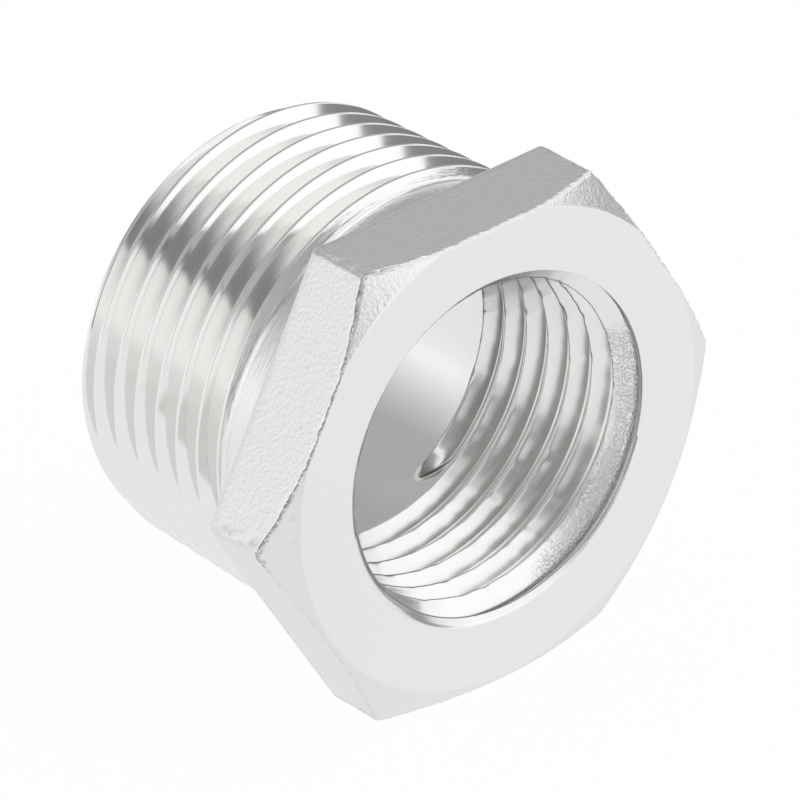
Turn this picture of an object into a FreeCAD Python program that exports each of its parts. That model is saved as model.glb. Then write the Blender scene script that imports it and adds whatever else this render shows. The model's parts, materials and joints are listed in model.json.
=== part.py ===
import FreeCAD, Part
import os
import Sketcher

# A hex reducing bushing in cast stainless steel, one solid piece.
# The casting is a short hexagonal head with a round stub behind it. The head's face, the stub and
# the bore are turned. The stub carries a taper pipe thread outside, three quarter inch by 14 turns
# to the inch, and the bore is tapped half inch from the head's end, at the same pitch.
# The outside thread's turns are rings here, each a pitch from the next on the taper: their lead is
# little more than one degree. The bore has its tapping size, and its fine turns are left to the finish.
#
# In the body's own frame Z is the turning axis, from the stub's end at 0 to the head's face.
# The placement lays it down on one flat of the head, with the face towards -Y.

# Sizes in millimetres and degrees, as the sheet holds them
SIZES = {
    "across_flats": 28.4,      # casting, flat to flat
    "hex_thickness": 5.4,      # head, from its face to the shoulder
    "cast_offset": 0.4,        # how far the casting sits below the turned axis
    "edge_rounding": 0.5,      # cast edges between two flats
    "rim_bevel": 0.24,         # cast rim at the back of the head
    "chamfer_angle": 32.0,     # turned cone over the six corners, from the face
    "cutter_overrun": 1.0,     # how far that cone is cut past the corners
    "overall_length": 21.2,    # face to stub end
    "stub_end_dia": 25.9,      # crest diameter at the stub's end, before its bevel
    "taper_ratio": 16.0,       # length along the stub for each unit of diameter
    "end_bevel": 1.1,          # 45 degree lead bevel of the stub
    "lead_land": 0.1,          # from that bevel to the first turn
    "thread_pitch": 1.814286,  # 14 turns to the inch
    "thread_depth": 1.16,      # crest to root
    "crest_flat": 0.25,        # width of a crest
    "flank_angle": 27.5,       # of each flank, from square to the axis
    "plain_neck": 1.8,         # least length behind the last turn
    "root_bevel": 0.2,         # 45 degree tool mark where the stub meets the head
    "bore_dia": 19.2,          # tapping bore, right through
    "mouth_bevel": 0.85,       # 45 degree bevel at the head's end of the bore
    "outlet_bevel": 0.5,       # 45 degree bevel at the stub's end of the bore
}

doc = FreeCAD.newDocument("hex_bushing")
sheet = doc.addObject("Spreadsheet::Sheet", "dims")
for row, (alias, value) in enumerate(SIZES.items(), start=1):
    sheet.set(f"A{row}", alias)
    sheet.set(f"B{row}", str(value))
    sheet.setAlias(f"B{row}", alias)
doc.recompute()

body = doc.addObject("PartDesign::Body", "hex_bushing")
body.Label = "hex_bushing"


def size_of(expression):
    """An expression on the sheet's sizes, as a number."""
    return float(sheet.evalExpression(expression))


def origin_plane(role):
    """The body's own origin plane with this role."""
    return next(f for f in body.Origin.OriginFeatures if f.Role == role)


def new_sketch(name, role):
    """An empty sketch on one of the body's origin planes."""
    sketch = body.newObject("Sketcher::SketchObject", name)
    sketch.AttachmentSupport = [(origin_plane(role), "")]
    sketch.MapMode = "FlatFace"
    return sketch


def place_corner(sketch, edge, along_x, along_y):
    """Ties an edge's first end to two expressions, measured from the sketch's origin."""
    axis_at_zero = {"DistanceX": -2, "DistanceY": -1}
    for kind, expression in (("DistanceX", along_x), ("DistanceY", along_y)):
        if expression == "0":
            sketch.addConstraint(Sketcher.Constraint("PointOnObject", edge, 1, axis_at_zero[kind]))
            continue
        distance = Sketcher.Constraint(kind, -1, 1, edge, 1, size_of(expression))
        index = sketch.addConstraint(distance)
        sketch.setExpression(f"Constraints[{index}]", expression)


def half_section(name, corners):
    """A closed outline in the XZ plane, each corner given as radius and height expressions."""
    sketch = new_sketch(name, "XZ_Plane")
    points = [FreeCAD.Vector(size_of(radius), size_of(height), 0) for radius, height in corners]
    count = len(points)
    for i in range(count):
        sketch.addGeometry(Part.LineSegment(points[i], points[(i + 1) % count]), False)
    for i in range(count):
        sketch.addConstraint(Sketcher.Constraint("Coincident", i, 2, (i + 1) % count, 1))
    for i, (radius, height) in enumerate(corners):
        place_corner(sketch, i, radius, height)
    return sketch


def turned(kind, name, sketch):
    """A full turn of a half section about the turning axis: a Revolution adds, a Groove cuts."""
    feature = body.newObject(kind, name)
    feature.Profile = sketch
    feature.ReferenceAxis = (sketch, ["V_Axis"])
    feature.Angle = 360
    doc.recompute()
    return feature


def rounded(name, base, edges, radius):
    """A fillet of one radius along the named edges of the feature before it."""
    fillet = body.newObject("PartDesign::Fillet", name)
    fillet.Base = (base, edges)
    fillet.setExpression("Radius", radius)
    doc.recompute()
    return fillet


def edges_where(feature, wanted):
    """The names of a feature's edges for which wanted is true."""
    return [f"Edge{i}" for i, edge in enumerate(feature.Shape.Edges, start=1) if wanted(edge)]


def lies_at(edge, height):
    """Whether the whole edge lies at one height."""
    return max(abs(vertex.Z - height) for vertex in edge.Vertexes) < NEAR


NEAR = 1e-4  # for finding an edge by its place
SHOULDER = "dims.overall_length - dims.hex_thickness"
CORNER_RADIUS = "dims.across_flats / (2 * cos(30))"
STUB_RADIUS_AT = "dims.stub_end_dia / 2 + ({height}) / (2 * dims.taper_ratio)"

# The head as cast: a hexagonal block with two flats level, below the turned axis by the offset
CORNERS = ((1, 0), (0.5, 1), (-0.5, 1), (-1, 0), (-0.5, -1), (0.5, -1))
hexagon = new_sketch("head_outline", "XY_Plane")
hexagon.setExpression("AttachmentOffset.Base.z", SHOULDER)
hexagon.setExpression("AttachmentOffset.Base.y", "-dims.cast_offset")
corner_points = [
    FreeCAD.Vector(size_of(CORNER_RADIUS) * x, size_of("dims.across_flats / 2") * y, 0)
    for x, y in CORNERS
]
for i in range(6):
    hexagon.addGeometry(Part.LineSegment(corner_points[i], corner_points[(i + 1) % 6]), False)
corner_circle = Part.Circle(FreeCAD.Vector(), FreeCAD.Vector(0, 0, 1), size_of(CORNER_RADIUS))
rim = hexagon.addGeometry(corner_circle, True)
for i in range(6):
    hexagon.addConstraint(Sketcher.Constraint("Coincident", i, 2, (i + 1) % 6, 1))
    hexagon.addConstraint(Sketcher.Constraint("PointOnObject", i, 1, rim))
for i in range(5):
    hexagon.addConstraint(Sketcher.Constraint("Equal", i, i + 1))
hexagon.addConstraint(Sketcher.Constraint("Coincident", rim, 3, -1, 1))
hexagon.addConstraint(Sketcher.Constraint("Horizontal", 1))
radius_index = hexagon.addConstraint(Sketcher.Constraint("Radius", rim, size_of(CORNER_RADIUS)))
hexagon.setExpression(f"Constraints[{radius_index}]", CORNER_RADIUS)

head = body.newObject("PartDesign::Pad", "head")
head.Profile = hexagon
head.setExpression("Length", "dims.hex_thickness")
doc.recompute()

# Cast edges are soft: the six between the flats are rounded, and the rim at the back is bevelled
upright = edges_where(head, lambda edge: abs(edge.Vertexes[0].Z - edge.Vertexes[-1].Z) > NEAR)
soft_edges = rounded("cast_edges", head, upright, "dims.edge_rounding")
shoulder_height = size_of(SHOULDER)
back_rim = edges_where(soft_edges, lambda edge: lies_at(edge, shoulder_height))
soft_rim = body.newObject("PartDesign::Chamfer", "cast_rim")
soft_rim.Base = (soft_edges, back_rim)
soft_rim.setExpression("Size", "dims.rim_bevel")
doc.recompute()

# One turn of the outside thread: a flank down, the root and a flank up, from where its groove opens
FIRST_TURN = "dims.end_bevel + dims.lead_land"
GROOVE_WIDTH = "dims.thread_pitch - dims.crest_flat"
FLANK_WIDTH = "dims.thread_depth * tan(dims.flank_angle)"
ROOT_HEIGHT = f"{SHOULDER} - dims.root_bevel"


def thread_turn(number):
    """The four corners of one turn's groove on the taper, as radius and height expressions."""
    opens = f"{FIRST_TURN} + {number} * dims.thread_pitch"
    closes = f"{opens} + {GROOVE_WIDTH}"
    root_opens = f"{opens} + {FLANK_WIDTH}"
    root_closes = f"{closes} - {FLANK_WIDTH}"
    return [
        (STUB_RADIUS_AT.format(height=opens), opens),
        (STUB_RADIUS_AT.format(height=root_opens) + " - dims.thread_depth", root_opens),
        (STUB_RADIUS_AT.format(height=root_closes) + " - dims.thread_depth", root_closes),
        (STUB_RADIUS_AT.format(height=closes), closes),
    ]


# The stub on its taper, with its lead bevel and its turns, carried halfway into the head
threaded_length = size_of(f"{ROOT_HEIGHT} - dims.plain_neck - ({FIRST_TURN}) + dims.crest_flat")
turn_count = int(threaded_length / size_of("dims.thread_pitch"))
INSIDE_HEAD = "dims.overall_length - dims.hex_thickness / 2"
BEVELLED_RADIUS = STUB_RADIUS_AT.format(height="dims.end_bevel")
ROOT_RADIUS = STUB_RADIUS_AT.format(height=ROOT_HEIGHT)
stub = turned("PartDesign::Revolution", "stub", half_section("stub_section", [
    ("0", "0"),
    (f"{BEVELLED_RADIUS} - dims.end_bevel", "0"),
    (BEVELLED_RADIUS, "dims.end_bevel"),
    *[corner for number in range(turn_count) for corner in thread_turn(number)],
    (ROOT_RADIUS, ROOT_HEIGHT),
    (f"{ROOT_RADIUS} + dims.root_bevel", SHOULDER),
    (f"{ROOT_RADIUS} + dims.root_bevel", INSIDE_HEAD),
    ("0", INSIDE_HEAD),
]))

# The turned cone that takes the corners off the face, from a circle as wide as the flats
FACE_RADIUS = "dims.across_flats / 2"
PAST_CORNERS = f"{CORNER_RADIUS} + dims.cast_offset + dims.cutter_overrun"
cone_drop = f"({PAST_CORNERS} - {FACE_RADIUS}) * tan(dims.chamfer_angle)"
chamfered = turned("PartDesign::Groove", "corner_chamfer", half_section("chamfer_section", [
    (FACE_RADIUS, "dims.overall_length"),
    (PAST_CORNERS, "dims.overall_length"),
    (PAST_CORNERS, f"dims.overall_length - {cone_drop}"),
]))

# The tapping bore right through, with a bevel at each end
BORE_RADIUS = "dims.bore_dia / 2"
bored = turned("PartDesign::Groove", "bore", half_section("bore_section", [
    ("0", "0"),
    (f"{BORE_RADIUS} + dims.outlet_bevel", "0"),
    (BORE_RADIUS, "dims.outlet_bevel"),
    (BORE_RADIUS, "dims.overall_length - dims.mouth_bevel"),
    (f"{BORE_RADIUS} + dims.mouth_bevel", "dims.overall_length"),
    ("0", "dims.overall_length"),
]))

# Laid down on its lowest flat: the face looks to -Y, and the part's middle stands over the origin
body.Placement = FreeCAD.Placement(FreeCAD.Vector(), FreeCAD.Rotation(FreeCAD.Vector(1, 0, 0), 90))
body.setExpression("Placement.Base.y", "dims.overall_length / 2")
body.setExpression("Placement.Base.z", "dims.across_flats / 2 + dims.cast_offset")
doc.recompute()

# Every object is sound, and each cut took something away
for item in doc.Objects:
    if {"Invalid", "Error"} & set(item.State):
        raise RuntimeError(f"{item.Name} failed: {item.State}")
for before, after in ((stub, chamfered), (chamfered, bored)):
    if not after.Shape.Volume < before.Shape.Volume:
        raise RuntimeError(f"{after.Name} cut nothing")
shape = body.Shape
if shape.isNull() or not shape.isValid() or len(shape.Solids) != 1:
    raise RuntimeError("the bushing is not one sound solid")

os.makedirs("parts", exist_ok=True)
shape.exportStep("parts/hex_bushing.step")
print(f"hex_bushing: {shape.Volume:.1f} mm3, {turn_count} turns, box {shape.BoundBox}")
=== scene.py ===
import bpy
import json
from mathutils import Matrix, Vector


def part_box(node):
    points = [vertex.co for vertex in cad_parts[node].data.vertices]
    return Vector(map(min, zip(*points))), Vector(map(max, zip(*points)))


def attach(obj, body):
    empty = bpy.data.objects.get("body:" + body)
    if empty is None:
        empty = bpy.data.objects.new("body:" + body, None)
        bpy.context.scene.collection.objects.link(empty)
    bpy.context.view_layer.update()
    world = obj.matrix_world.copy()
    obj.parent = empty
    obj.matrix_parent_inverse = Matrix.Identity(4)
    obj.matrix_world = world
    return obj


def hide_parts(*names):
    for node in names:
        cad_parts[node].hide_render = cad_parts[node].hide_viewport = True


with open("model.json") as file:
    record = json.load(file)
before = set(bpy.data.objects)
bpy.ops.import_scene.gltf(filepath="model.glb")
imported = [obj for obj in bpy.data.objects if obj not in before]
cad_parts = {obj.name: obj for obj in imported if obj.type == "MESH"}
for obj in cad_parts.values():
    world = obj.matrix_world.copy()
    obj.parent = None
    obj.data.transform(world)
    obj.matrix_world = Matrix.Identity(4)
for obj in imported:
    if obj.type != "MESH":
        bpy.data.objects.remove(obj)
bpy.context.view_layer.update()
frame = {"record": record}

import json
import math
import bmesh
import bpy
import numpy as np
from mathutils import Matrix, Vector, noise

# The casting and its turned axis
# A hex reducing bushing is one stainless casting, finished on a lathe about one axis. It lies on one flat
# of its head, so that axis is level and the face looks to -Y. All lengths below are in millimetres.
MM = 0.001
PITCH = 25.4 / 14            # 14 turns to the inch, outside and inside
FLAT_STEPS = 96              # columns of the skin along each flat of the head
CORNER_STEPS = 12            # and round each corner
EDGE_ROUNDING = 0.5          # cast edge between two flats

low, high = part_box("hex_bushing")
bore_mount = next(mount for mount in frame["record"]["mounts"] if mount["name"] == "female_thread")
length = (high.y - low.y) / MM
across_flats = (high.z - low.z) / MM
axis_height = bore_mount["pos_m"][2] / MM
bore_radius = bore_mount["dims"]["r_mm"]
cast_drop = axis_height - across_flats / 2     # the head was cast this far below the turned axis


def arc(turn, radius):
    """A point at a distance from the middle, in a direction given in degrees."""
    return np.array((math.cos(math.radians(turn)), math.sin(math.radians(turn)))) * radius


half_flat = (across_flats / 2 - EDGE_ROUNDING) * math.tan(math.radians(30))
outline = []
for turn in range(30, 390, 60):
    for step in range(FLAT_STEPS):
        outline.append(arc(turn, across_flats / 2) + arc(turn + 90, half_flat * (2 * step / FLAT_STEPS - 1)))
    for step in range(CORNER_STEPS):
        corner = arc(turn, across_flats / 2 - EDGE_ROUNDING) + arc(turn + 90, half_flat)
        outline.append(corner + arc(turn + 60 * step / CORNER_STEPS, EDGE_ROUNDING))
outline = np.array(outline + outline[:1]) - (0, cast_drop)
angle = np.unwrap(np.arctan2(outline[:, 1], outline[:, 0]))    # of each column, seen from the front
outline_radius = np.hypot(*outline.T)

vertices, wear, faces, face_finishes = [], [], [], []
FINISHES = ("cast_skin", "turned_face", "cut_thread", "bored_wall")


def lay_rows(rows, every, finish):
    """Lays rows of the skin side by side. Each is a radius and a depth behind the face for every column,
    or for every second one, and may add its wear and painted shade. Gives the numbers of their vertices."""
    columns = angle[::every]
    for row in rows:
        wear.extend(np.broadcast_to(row[2] if len(row) > 2 else 0.0, columns.shape).tolist())
    radius, depth = (np.array([np.broadcast_to(row[k], columns.shape) for row in rows]) for k in (0, 1))
    height = axis_height + radius * np.sin(columns)
    points = np.stack((radius * np.cos(columns), low.y / MM + depth, height), -1)
    numbers = np.arange(points.shape[0] * points.shape[1]).reshape(points.shape[:2]) + len(vertices)
    vertices.extend(points.reshape(-1, 3).tolist())
    here, beyond = numbers[:-1], numbers[1:]
    quads = np.stack((here[:, :-1], here[:, 1:], beyond[:, 1:], beyond[:, :-1]), -1)
    faces.extend(quads.reshape(-1, 4).tolist())
    face_finishes.extend([FINISHES.index(finish)] * (len(faces) - len(face_finishes)))
    return numbers


def stitch(fine, coarse, finish):
    """Joins a row with every column to a row with every second one."""
    for k in range(len(coarse) - 1):
        first, middle, last = fine[2 * k:2 * k + 3].tolist()
        near, far = coarse[k:k + 2].tolist()
        faces.extend(((first, middle, near), (middle, far, near), (middle, last, far)))
    face_finishes.extend([FINISHES.index(finish)] * (len(faces) - len(face_finishes)))


def grain(radius, depth, size, seed):
    """Smooth noise of about -1 to 1 over a row or a grid of the skin, in spots of about size mm."""
    columns = angle[::(len(angle) - 1) // (np.shape(radius)[-1] - 1)]
    radius, depth, columns = np.broadcast_arrays(radius, depth, columns)
    spots = zip((radius * np.cos(columns)).ravel(), depth.ravel(), (radius * np.sin(columns)).ravel())
    values = [noise.noise(Vector(spot) / size + Vector((seed, 0, 0))) for spot in spots]
    return np.array(values).reshape(radius.shape)


def eased(value):
    """A soft step from 0 to 1 as value goes from 0 to 1."""
    value = np.clip(value, 0.0, 1.0)
    return value * value * (3 - 2 * value)


# Inside thread and bore
# Half inch, tapped from the face to little more than half the length, where its first cuts fade out in the
# plain bore. The groove opens through the mouth's bevel and leaves a thin crest between its turns.
MOUTH_BEVEL = 0.85
MOUTH_BLEND = 0.12           # soft edge between the mouth's bevel and the crests
OUTLET_BEVEL = 0.5           # at the stub's end
INNER_START = 5.87           # pitches from the face to the deepest whole crest, in the direction +X
INNER_ROOT = 10.62           # radius of the groove's root
INNER_DEPTH = 1.03
INNER_CREST_WIDTH = 0.05     # in pitches
INNER_ROOT_WIDTH = 0.2
INNER_FIRST_CUT = -1.19      # turns from the deepest whole crest to the tap's first cut, further in
FIRST_CUT_FADE = 0.05        # turns over which that cut comes in
UNCUT_DROP = 1.1             # takes the groove off where the tap hasn't cut yet
CREST_TEARS = 0.12           # height of the scraps torn off the crests
TEAR_SIZE = 0.6
TEAR_REACH = 1 / 8           # share of a flank that they reach down
THREADED_LENGTH = 13.6
INNER_SHARES = (0.02, 0.04, 0.08, 0.35, 0.41, 0.59, 0.65, 0.92, 0.96, 0.98)    # rows of the skin in a pitch
PLAIN_ROWS = (18.0, 15.5)    # depths of its rows in the plain bore


def thread_form(place, ridge, crest, root):
    """How deep a thread is cut beside a ridge, both counted in pitches: 0 on its crest and 1 in the root."""
    return np.clip((np.abs(place - ridge) - crest / 2) / (0.5 - crest / 2 - root / 2), 0.0, 1.0)


def helix_rows(surface, start, shares, top, bottom, turns):
    """Rows along a right-handed helix, a few to each pitch, held between two depths behind the face."""
    first, last = math.floor(start - 1 - bottom / PITCH), math.ceil(start - top / PITCH)
    places = [k + share for k in range(first, last + 1) for share in shares]
    depths = [np.clip((start - turns - place) * PITCH, top, bottom) for place in places]
    return [(surface(depth, turns), depth) for depth in depths]


def inner_surface(depth, turns):
    """The bore's radius at a depth behind the face, with its thread."""
    place = INNER_START - turns - depth / PITCH
    cut_in = eased((np.floor(place) + turns - INNER_FIRST_CUT) / FIRST_CUT_FADE)
    form = thread_form(place, np.round(place), INNER_CREST_WIDTH, INNER_ROOT_WIDTH)
    groove = INNER_ROOT - INNER_DEPTH * (1 - form) - UNCUT_DROP * (1 - cut_in)
    tears = np.maximum(grain(np.full_like(turns, bore_radius), depth, TEAR_SIZE, 21.0), 0.0)
    groove = groove + CREST_TEARS * np.clip(1 - form / TEAR_REACH, 0.0, 1.0) * tears
    bevel = bore_radius + MOUTH_BEVEL - depth
    joint = np.sqrt((groove - bevel) ** 2 + MOUTH_BLEND ** 2)
    return np.maximum((groove + bevel + joint) / 2, bore_radius)


turns = angle[::2] / math.tau
outlet_row = length - OUTLET_BEVEL * 1.2       # just inside the outlet's bevel
lay_rows([(bore_radius, depth) for depth in (outlet_row, *PLAIN_ROWS, THREADED_LENGTH)], 2, "bored_wall")
inner = helix_rows(inner_surface, INNER_START, INNER_SHARES, 0.0, THREADED_LENGTH, turns)
inner_rows = lay_rows(inner, 2, "bored_wall")
mouth_radius = inner_surface(np.zeros_like(turns), turns)

# Head of the casting
# The wrench head is a hexagonal block with soft cast edges and a fine mould grain. Its face is turned flat,
# and a cast cone takes the corners off it, with an edge that is rough where the mould's skin chipped.
HEAD_THICKNESS = 5.4
RIM_ROUNDING = 0.4           # cast edge round the head's back
CONE_ANGLE = math.radians(32)
LEAST_CONE = 0.12            # width of the cone where the face comes nearest to a flat
EDGE_GAP = 0.03              # between the two rows of the skin that hold a sharp edge
NECK_RADIUS = 13.10
NECK_DROP = 1.1              # how far the neck lies below the turned axis, in drops of the head
NECK_LIMIT = 13.33
ROOT_FILLET = 0.2
SHADED_CHIPPED_SIDE = math.radians(150)    # the upper left flat, whose edge chipped most and has the most painted shade
SHADED_CHIPPED_REACH = 0.78         # cosine of the angle that it reaches on each side
SHADED_CHIPPED_FADE = 0.08
LEAST_CHIPS_AND_SHADE = 0.12           # share of that wear and painted shade on the other flats
CHIP_CONTRAST = 2.2          # turns noise into chips with clear borders
CHIP_LEVEL = 0.25
EDGE_WIDTH = 0.1             # strip of the cone that is chipped along its edge with the flats
EDGE_BLUNT = 0.015
DENTS = 0.002                # depth of the mould's marks on the cone
BITES = 0.1                  # depth of the bites in that edge, large and small
FINE_BITES = 0.08
KNOCKS = 0.05                # depth of the knocks in the cast corners
KNOCKED_WIDTH = 2.4          # and how many degrees of a corner they take
FACE_SHARES = (0.0, 0.03, 0.3, 0.7, 0.97)      # rows of the skin on the face, the cone and the flats
CONE_SHARES = (0.08, 0.2, 0.33, 0.46, 0.58, 0.7, 0.8, 0.88, 0.94)
FLAT_SHARES = (0.0, 0.03, 0.07, 0.12, 0.18, 0.25, 0.32, 0.4, 0.48, 0.56, 0.64, 0.72, 0.8, 0.88, 0.94, 1.0)

cone_radius = across_flats / 2


def neck_radius(turns):
    """The neck follows the casting, so it lies off the turned axis, but never stands above the crests."""
    return np.minimum(NECK_RADIUS - cast_drop * NECK_DROP * np.sin(turns * math.tau), NECK_LIMIT)


neck_foot = neck_radius(angle / math.tau) + ROOT_FILLET
fine_mouth = np.interp(angle, angle[::2], mouth_radius)
face_edge = np.minimum(cone_radius, outline_radius - LEAST_CONE)
rows = [(fine_mouth + EDGE_GAP + (face_edge - fine_mouth) * share, 0.0) for share in FACE_SHARES]
face_rows = lay_rows(rows + [(face_edge, 0.0)], 1, "turned_face")
stitch(face_rows[0], inner_rows[-1], "turned_face")


def cone_depth(radius):
    """How far the cone over the corners lies behind the face."""
    return np.maximum(radius - cone_radius, 0.0) * math.tan(CONE_ANGLE)


def chipped(depth, size, seed):
    """Where noise of a size bites into the outline at a depth: 0 for most of it, up to 1 in the bites."""
    return np.clip(grain(outline_radius, depth, size, seed) * CHIP_CONTRAST + CHIP_LEVEL, 0.0, 1.0)


edge_depth = cone_depth(outline_radius)
# The edges' wear also darkens them with painted shade, most on the upper left flat.
chipped_and_shaded_side = eased((np.cos(angle - SHADED_CHIPPED_SIDE) - SHADED_CHIPPED_REACH) / SHADED_CHIPPED_FADE)
chips_and_shade = LEAST_CHIPS_AND_SHADE + (1 - LEAST_CHIPS_AND_SHADE) * chipped_and_shaded_side
bites = BITES * chipped(edge_depth, 0.55, 7.0) + FINE_BITES * chipped(edge_depth, 0.26, 11.0)
rows = [(face_edge, 0.0)]
for share in CONE_SHARES:
    radius = face_edge + (outline_radius - EDGE_WIDTH - face_edge) * share
    dents = DENTS * chipped(cone_depth(radius), 0.34, 3.0 + share)
    flecks_and_shade = 0.5 * chipped(radius * 0.5, 0.3, 13.0) * (share > 0.9)
    rows.append((radius, cone_depth(radius) + dents, flecks_and_shade * chips_and_shade))
torn_and_shaded_edge = 0.4 + 0.6 * chipped(edge_depth, 0.3, 15.0)
rows.append((outline_radius - EDGE_WIDTH / 2, edge_depth + bites * 0.5, torn_and_shaded_edge * chips_and_shade))
rows.append((outline_radius - EDGE_BLUNT - 0.2 * bites, edge_depth + EDGE_GAP + bites * 0.8, chips_and_shade))
rim = np.minimum(RIM_ROUNDING, outline_radius - neck_foot - EDGE_GAP)
flat_start, flat_end = edge_depth + EDGE_GAP * 2 + bites, HEAD_THICKNESS - rim
corner_share = eased(1 - np.abs((np.degrees(angle) + 30) % 60 - 30) / KNOCKED_WIDTH)
for share in FLAT_SHARES:
    depth = flat_start + (flat_end - flat_start) * share
    knocks_and_shade = chipped(depth, 0.45, 31.0) * corner_share
    rows.append((outline_radius - KNOCKS * knocks_and_shade, depth, 0.3 * knocks_and_shade))
for bend in (22, 45, 68, 90):
    across, along = arc(bend, 1.0)
    rows.append((outline_radius - rim * (1 - across), flat_end + rim * along))
rows.append((neck_foot + (outline_radius - rim - neck_foot) * 0.4, HEAD_THICKNESS))
rows.append((neck_foot, HEAD_THICKNESS))
head_rows = lay_rows(rows, 1, "cast_skin")

# Outside thread on the stub
# A taper pipe thread, cut right-handed. Its last ridge stands whole over the neck and ends above it,
# and a bevel leads in at the stub's end.
STUB_END_RADIUS = 12.95
TAPER = 1 / 32               # of the radius, so 1 in 16 on the diameter
END_BEVEL = 1.1
OUTER_DEPTH = 1.16
OUTER_CREST_WIDTH = 0.09     # in pitches
OUTER_ROOT_WIDTH = 0.194
OUTER_START = 10.92          # pitches from the face to the crest nearest the stub's end, in the direction +X
LAST_RIDGE = 6               # ridges are counted from there
RIDGE_END = 6.60             # turns from there to where the last ridge is cut away
RIDGE_FADE = 0.06            # and over how many turns
GROOVE_END = 5.64            # turns from there to where the last groove's root rises to the neck
GROOVE_FADE = 0.22
FOOT_BLEND = 0.05            # fillet where the last ridge meets the neck
NECK_END = 6.5               # depth behind the face at which the thread's rows take over
OUTER_SHARES = (0.03, 0.045, 0.06, 0.15, 0.2, 0.25, 0.37, 0.42, 0.58, 0.63, 0.9, 0.94, 0.955, 0.97)
OUTER_NICKS = (              # turns from the first crest, pitches off the crest, size and height in mm
    (1.369, 0.02, 0.09, -0.06),
    (3.372, 0.06, 0.09, -0.07),
    (3.375, 0.22, 0.09, 0.03),
    (5.412, -0.05, 0.09, -0.05))


def outer_surface(depth, turns):
    """The stub's radius at a depth behind the face, with its thread."""
    place = OUTER_START - turns - depth / PITCH
    ridge = np.minimum(np.round(place), LAST_RIDGE)
    crest = STUB_END_RADIUS + (length - depth) * TAPER
    top = crest - OUTER_DEPTH * eased((ridge + turns - RIDGE_END) / RIDGE_FADE)
    root_rise = eased((np.floor(place) + turns - GROOVE_END) / GROOVE_FADE)
    root = crest - OUTER_DEPTH + (neck_radius(turns) - crest + OUTER_DEPTH) * root_rise
    form = thread_form(place, ridge, OUTER_CREST_WIDTH, OUTER_ROOT_WIDTH)
    cut = np.minimum(crest - OUTER_DEPTH * form, top)
    foot = np.hypot(cut - root, FOOT_BLEND * root_rise)
    bevel = STUB_END_RADIUS + END_BEVEL * TAPER - END_BEVEL + (length - depth)
    radius = np.minimum(np.minimum((cut + root + foot) / 2, crest), bevel)
    for along, off, size, height in OUTER_NICKS:
        beside = np.hypot((turns - along % 1) * math.tau * radius, (place - along // 1 + off) * PITCH)
        radius = radius + height * np.exp(-(beside / size) ** 2)
    return radius


foot = neck_foot[::2]
neck = [(foot - ROOT_FILLET * share, HEAD_THICKNESS + ROOT_FILLET * (1 - math.sqrt(1 - share * share)))
        for share in (0.3, 0.7, 0.95)]
neck += [(neck_radius(turns), HEAD_THICKNESS + ROOT_FILLET), (outer_surface(NECK_END, turns), NECK_END)]
neck_rows = lay_rows(neck, 2, "cut_thread")
stitch(head_rows[-1], neck_rows[0], "cut_thread")
outer = helix_rows(outer_surface, OUTER_START, OUTER_SHARES, NECK_END, length, turns)
lay_rows(outer[::-1], 2, "cut_thread")

# Stub's end
# A plain turned ring between the lead bevel outside and a small bevel at the bore.
end_radius = outer_surface(np.full_like(turns, length), turns)
outlet_radius = bore_radius + OUTLET_BEVEL
ring = [(end_radius + (outlet_radius - end_radius) * share, length) for share in (0.0, 0.04, 0.5, 0.96, 1.0)]
ring += [(outlet_radius - OUTLET_BEVEL * share, length - OUTLET_BEVEL * share)
         for share in (0.08, 0.92, 1.0)]
ring.append((bore_radius, outlet_row))
lay_rows(ring, 2, "bored_wall")

# The whole skin
# All the rows join into one closed skin, which stands for the solid.
WELD = 2e-7                  # metres

mesh = bpy.data.meshes.new("bushing_skin")
mesh.from_pydata((np.array(vertices) * MM).tolist(), [], faces)
mesh.polygons.foreach_set("material_index", face_finishes)
mesh.attributes.new("wear", "FLOAT", "POINT").data.foreach_set("value", wear)
skin = bmesh.new()
skin.from_mesh(mesh)
bmesh.ops.remove_doubles(skin, verts=skin.verts, dist=WELD)
bmesh.ops.dissolve_degenerate(skin, edges=skin.edges, dist=WELD / 2)
bmesh.ops.recalc_face_normals(skin, faces=skin.faces)
skin.to_mesh(mesh)
skin.free()
mesh.shade_smooth()
bushing = bpy.data.objects.new("bushing_casting", mesh)
bpy.context.collection.objects.link(bushing)
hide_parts("hex_bushing")
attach(bushing, "root")


# Finishes
# Bare steel in four finishes, one for each zone of the skin. What varies over a zone is worked out from
# the place on the part and from its distance and angle round the turned axis.
class Signal:
    """A socket in a node tree. Arithmetic on it adds Math nodes, and node adds any other node."""

    def __init__(self, tree, socket=None):
        self.tree, self.socket = tree, socket

    def node(self, kind, settings=(), sockets=(), output=0):
        """Adds a node, sets it up, gives its sockets their values or links, and hands back one output."""
        made = self.tree.nodes.new(kind)
        for name, value in dict(settings).items():
            setattr(made, name, value)
        for key, value in dict(sockets).items():
            if isinstance(value, Signal):
                self.tree.links.new(value.socket, made.inputs[key])
            else:
                made.inputs[key].default_value = value
        return Signal(self.tree, made.outputs[output]) if made.outputs else None

    def math(self, operation, *others):
        """A Math node on this value and any others."""
        return self.node("ShaderNodeMath", {"operation": operation}, dict(enumerate((self, *others))))

    def __add__(self, other):
        return self.math("ADD", other)

    def __sub__(self, other):
        return self.math("SUBTRACT", other)

    def __rsub__(self, other):
        return self.math("MULTIPLY_ADD", -1, other)

    def __mul__(self, other):
        return self.math("MULTIPLY", other)

    __radd__, __rmul__ = __add__, __mul__

    def eased(self, start, end):
        """A soft step from 0 to 1 as the value goes from start to end."""
        return self.node("ShaderNodeMapRange", {"interpolation_type": "SMOOTHSTEP"},
                         {"Value": self, "From Min": start, "From Max": end})


STEEL = (0.80, 0.795, 0.785, 1)
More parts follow.
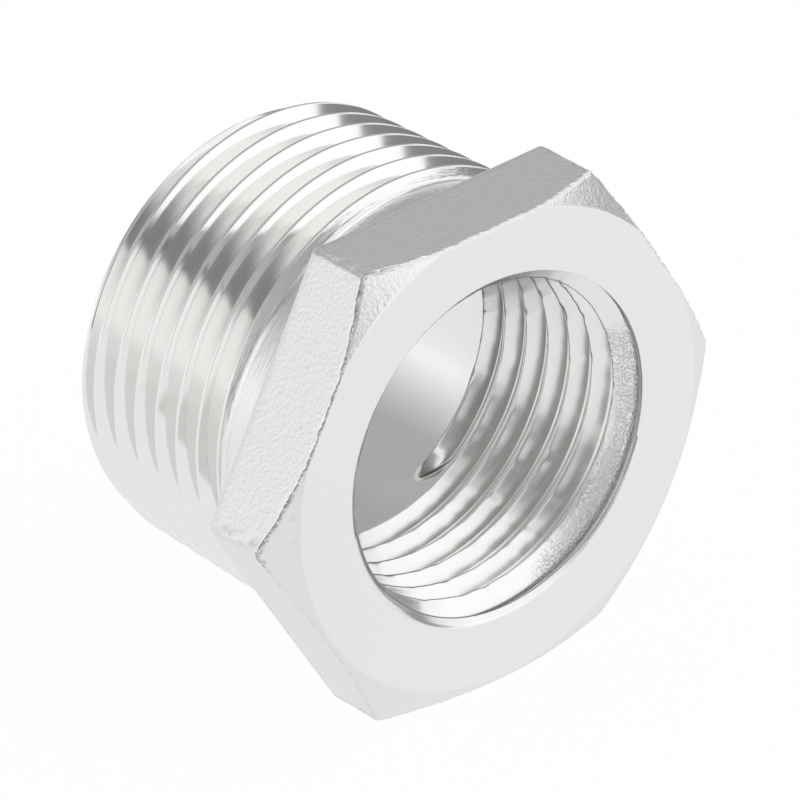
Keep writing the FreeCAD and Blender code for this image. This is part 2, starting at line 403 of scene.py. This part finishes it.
# a lighter copy of the steel for the turned face: a painted highlight
PAINTED_HIGHLIGHT_STEEL = (0.84, 0.835, 0.825, 1)
# colour of the painted shade in the pits and in the bites along the head's edges
PAINTED_SHADE = (0.20, 0.19, 0.175, 1)
STUB_RADIUS = 13             # turns an angle round the axis into a length for the streaks


class Finish:
    """A bare steel material for one zone of the skin, with its place in mm and round the turned axis."""

    def __init__(self, name):
        material = bpy.data.materials.new(name)
        material.use_nodes = True
        self.tree = material.node_tree
        self.shader = self.tree.nodes["Principled BSDF"]
        self.shader.inputs["Base Color"].default_value = STEEL
        self.shader.inputs["Metallic"].default_value = 1.0
        self.start = Signal(self.tree)
        object_place = self.start.node("ShaderNodeTexCoord", output="Object")
        self.place = self.start.node("ShaderNodeVectorMath", {"operation": "SCALE"},
                                     {0: object_place, "Scale": 1 / MM})
        x, y, z = [self.start.node("ShaderNodeSeparateXYZ", {}, {0: self.place}, output=k) for k in range(3)]
        z = z - axis_height
        self.radius = (x * x + z * z).math("SQRT")
        self.turn = z.math("ARCTAN2", x)
        self.depth = y - low.y / MM
        mesh.materials.append(material)

    def noise(self, size, detail=2.0, vector=None):
        """Smooth noise from 0 to 1 in spots of a size in mm."""
        return self.start.node("ShaderNodeTexNoise", {}, {"Vector": vector or self.place,
                                                          "Scale": 1 / size, "Detail": detail})

    def streaks(self, across, along):
        """Noise drawn out round the axis: widths across and along the streaks in mm."""
        vector = self.start.node("ShaderNodeCombineXYZ", {}, {0: self.radius * (1 / across),
                                                              1: self.depth * (1 / across),
                                                              2: self.turn * (STUB_RADIUS / along)})
        return self.noise(1.0, 2.0, vector)

    def colour(self, share, other):
        """Steel with a share of another colour over it."""
        mixed = self.start.node("ShaderNodeMix", {"data_type": "RGBA"},
                                {0: share, 6: STEEL, 7: other}, output=2)
        self.tree.links.new(mixed.socket, self.shader.inputs["Base Color"])

    def roughness(self, value):
        """Roughness that varies over the skin."""
        self.tree.links.new(value.socket, self.shader.inputs["Roughness"])

    def relief(self, height):
        """Bumps of a height in mm."""
        bump = self.start.node("ShaderNodeBump", {}, {"Height": height, "Distance": MM})
        self.tree.links.new(bump.socket, self.shader.inputs["Normal"])


# Cast skin of the head
# The flats and the cone keep the mould's skin: a fine blasted grain with small pits, and bites along
# the edges. Painted shade darkens the pits and the bites.
GRAIN_HEIGHT = 0.032
FINE_GRAIN_HEIGHT = 0.006
PIT_DEPTH = 0.004
TEAR_DEPTH = 0.03

cast = Finish("cast_skin")
worn_and_shaded = cast.start.node("ShaderNodeAttribute", {"attribute_name": "wear"}, output=2)
pits_and_shade = cast.noise(0.42).eased(0.64, 0.72)
tears = cast.noise(0.16, 1.0).eased(0.3, 0.5) * worn_and_shaded
blasted = cast.noise(0.24) * GRAIN_HEIGHT + cast.noise(0.13, 1.0) * FINE_GRAIN_HEIGHT
cast.relief(blasted - pits_and_shade * PIT_DEPTH - tears * TEAR_DEPTH)
cast.roughness(0.34 + pits_and_shade * 0.06 + tears * 0.2)
# Painted shade: the pits and the torn, worn bites along the edges are darkened.
cast.colour((pits_and_shade * 0.08).math("MAXIMUM", tears * 0.85), PAINTED_SHADE)

# Turned face
# The face is turned flat and even. Only faint rings of the tool are left on it. Its steel is painted
# lighter than the rest, as a painted highlight.
RING_HEIGHT = 0.0012

turned = Finish("turned_face")
turned.relief(turned.streaks(0.12, 8.0) * RING_HEIGHT)
turned.roughness(0.27 + turned.streaks(0.3, 6.0) * 0.06)
# Painted highlight: the face's steel is lighter than the rest.
turned.shader.inputs["Base Color"].default_value = PAINTED_HIGHLIGHT_STEEL

# Cut outside thread and neck
# The thread is cut bright, with streaks along its turns. The neck behind it is torn by the tool's run-out.
STREAK_HEIGHT = 0.0008
SCRATCH_HEIGHT = 0.02
TORN_NECK = (8.0, 8.9)       # depths behind the face between which the torn skin ends

cut = Finish("cut_thread")
torn = 1 - cut.depth.eased(*TORN_NECK)
cut.relief(cut.streaks(0.16, 6.0) * STREAK_HEIGHT + torn * cut.streaks(0.16, 0.9) * SCRATCH_HEIGHT)
cut.roughness(0.07 + cut.streaks(0.1, 5.0) * 0.06 + torn * 0.1)

# Bored wall and tapped thread
# The bore is smooth with faint streaks, and a little duller where it is tapped. The tap tore the first
# turn on one side of the mouth.
BORE_STREAK_HEIGHT = 0.001
SCRAP_HEIGHT = 0.035
TORN_TURN = math.radians(-25)       # direction of the torn stretch from +X
TORN_COSINES = (0.62, 0.8)          # its ends on each side
TORN_START = (0.3, 0.5)             # depths behind the face between which it starts
TORN_END = (1.3, 1.8)               # and ends
TAPPED_FADE = 0.4                   # over which the tapped, duller stretch ends

bored = Finish("bored_wall")
torn = (bored.turn - TORN_TURN).math("COSINE").eased(*TORN_COSINES)
torn = torn * bored.depth.eased(*TORN_START) * (1 - bored.depth.eased(*TORN_END))
scraps = bored.noise(0.17, 2.0).eased(0.42, 0.62) * torn
bored.relief(bored.streaks(0.07, 4.0) * BORE_STREAK_HEIGHT + scraps * SCRAP_HEIGHT)
tapped = 1 - bored.depth.eased(THREADED_LENGTH - TAPPED_FADE, THREADED_LENGTH)
bored.roughness(0.11 + bored.streaks(0.12, 6.0) * 0.06 + tapped * 0.07 + torn * 0.1)

# Floor and studio
# A plain white card for a floor, soft lights at the front right, at the left and high up, and grey walls
# and ceilings between them, which the bright metal shows.
FLOOR_HALF = 0.15            # metres
FLOOR_GLOW = 0.975           # share of the floor that is plain white; the rest takes the part's shadow
ROOM_LIGHT = 1.07
WALLS = (      # light, azimuth from +Y towards +X, half width and its blur, bottom, top and their blurs
    (1.26, 150, 36, 5, -12, 42, 8, 22),          # large soft light at the front right
    (1.32, -70, 31, 10, 5, 37, 6, 14),           # another at the left
    (1.34, 40, 62, 15, 54, 110, 8, 10),          # and one high up
    (0.31, -54, 59, 26, 41, 66, 2, 11),          # dark ceiling over the left one
    (0.49, 2, 49, 22, 10, 56, 21, 7),            # grey wall behind the part
    (0.46, 50, 27, 6, -3, 44, 3, 4),             # and to the right of it
    (0.44, -129, 39, 25, 25, 72, 23, 19),        # ceiling behind the camera
    (0.20, -161, 18, 4, 10.6, 21, 1, 5),         # the photographer's side
    (0.34, -151, 9, 1.5, -12, 11, 2, 1),         # and what stands there
    (0.28, 104, 22, 0.6, -8, 10.6, 1, 0.4))      # gap under the front right light

floor_mesh = bpy.data.meshes.new("floor")
corners = [(FLOOR_HALF * x, FLOOR_HALF * y, 0) for x, y in ((-1, -1), (1, -1), (1, 1), (-1, 1))]
floor_mesh.from_pydata(corners, [], [(0, 1, 2, 3)])
floor = bpy.data.objects.new("floor", floor_mesh)
bpy.context.collection.objects.link(floor)
floor_paint = bpy.data.materials.new("floor_paint")
floor_paint.use_nodes = True
tree = floor_paint.node_tree
start = Signal(tree)
seen = start.node("ShaderNodeLightPath", output="Is Camera Ray")
for other_ray in ("Is Glossy Ray", "Is Transmission Ray"):
    seen = seen.math("MAXIMUM", start.node("ShaderNodeLightPath", output=other_ray))
paint = start.node("ShaderNodeBsdfDiffuse", {}, {"Color": (0.9, 0.9, 0.9, 1)})
white = start.node("ShaderNodeEmission", {}, {"Color": (1, 1, 1, 1), "Strength": 1.0})
mixed = start.node("ShaderNodeMixShader", {}, {0: seen * FLOOR_GLOW, 1: paint, 2: white})
tree.links.new(mixed.socket, tree.nodes["Material Output"].inputs["Surface"])
floor_mesh.materials.append(floor_paint)

world = bpy.data.worlds.new("studio")
bpy.context.scene.world = world
world.use_nodes = True
tree = world.node_tree
start = Signal(tree)
direction = start.node("ShaderNodeTexCoord", output="Generated")
parts = [start.node("ShaderNodeSeparateXYZ", {}, {0: direction}, output=axis) for axis in range(3)]
elevation = parts[2].math("ARCSINE") * math.degrees(1)


def wall(level, value, middle, half_width, side_blur, bottom, top, bottom_blur, top_blur):
    """Lays a soft-edged wall or light over a range of azimuths and elevations, all in degrees."""
    turn = math.radians(middle)
    ahead = parts[0] * math.sin(turn) + parts[1] * math.cos(turn)
    aside = parts[0] * math.cos(turn) - parts[1] * math.sin(turn)
    off = aside.math("ABSOLUTE").math("ARCTAN2", ahead) * math.degrees(1)
    mask = 1 - off.eased(half_width - side_blur, half_width + side_blur)
    mask = mask * elevation.eased(bottom - bottom_blur, bottom + bottom_blur)
    mask = mask * (1 - elevation.eased(top - top_blur, top + top_blur))
    return level + mask * (value - level)


level = ROOM_LIGHT
for place in WALLS:
    level = wall(level, *place)
camera_ray = start.node("ShaderNodeLightPath", output="Is Camera Ray")
level = level + camera_ray * (1.0 - level)
background = tree.nodes["Background"]
tree.links.new(level.socket, background.inputs["Color"])
bpy.context.scene.view_settings.view_transform = "Standard"

# Camera
# It looks down on the face and the left side from far off, through a long lens.
VIEW_AZIMUTH = 39.449        # degrees from +Y towards +X
VIEW_DROP = 30.390
VIEW_ROLL = -2.511
VIEW_DISTANCE = 660.22
VIEW_AIM = Vector((0.8216, -1.2152, 13.4901))
VIEW_LENS = 540

camera_data = bpy.data.cameras.new("camera")
camera_data.lens = VIEW_LENS
camera_data.sensor_width = 36
camera_data.clip_end = 10
camera = bpy.data.objects.new("camera", camera_data)
bpy.context.collection.objects.link(camera)
level_aim = arc(90 - VIEW_AZIMUTH, math.cos(math.radians(VIEW_DROP)))
forward = Vector((*level_aim, -math.sin(math.radians(VIEW_DROP))))
aimed = forward.to_track_quat("-Z", "Y").to_matrix() @ Matrix.Rotation(math.radians(VIEW_ROLL), 3, "Z")
camera.location = (VIEW_AIM - forward * VIEW_DISTANCE) * MM
camera.rotation_euler = aimed.to_euler()
bpy.context.scene.camera = camera
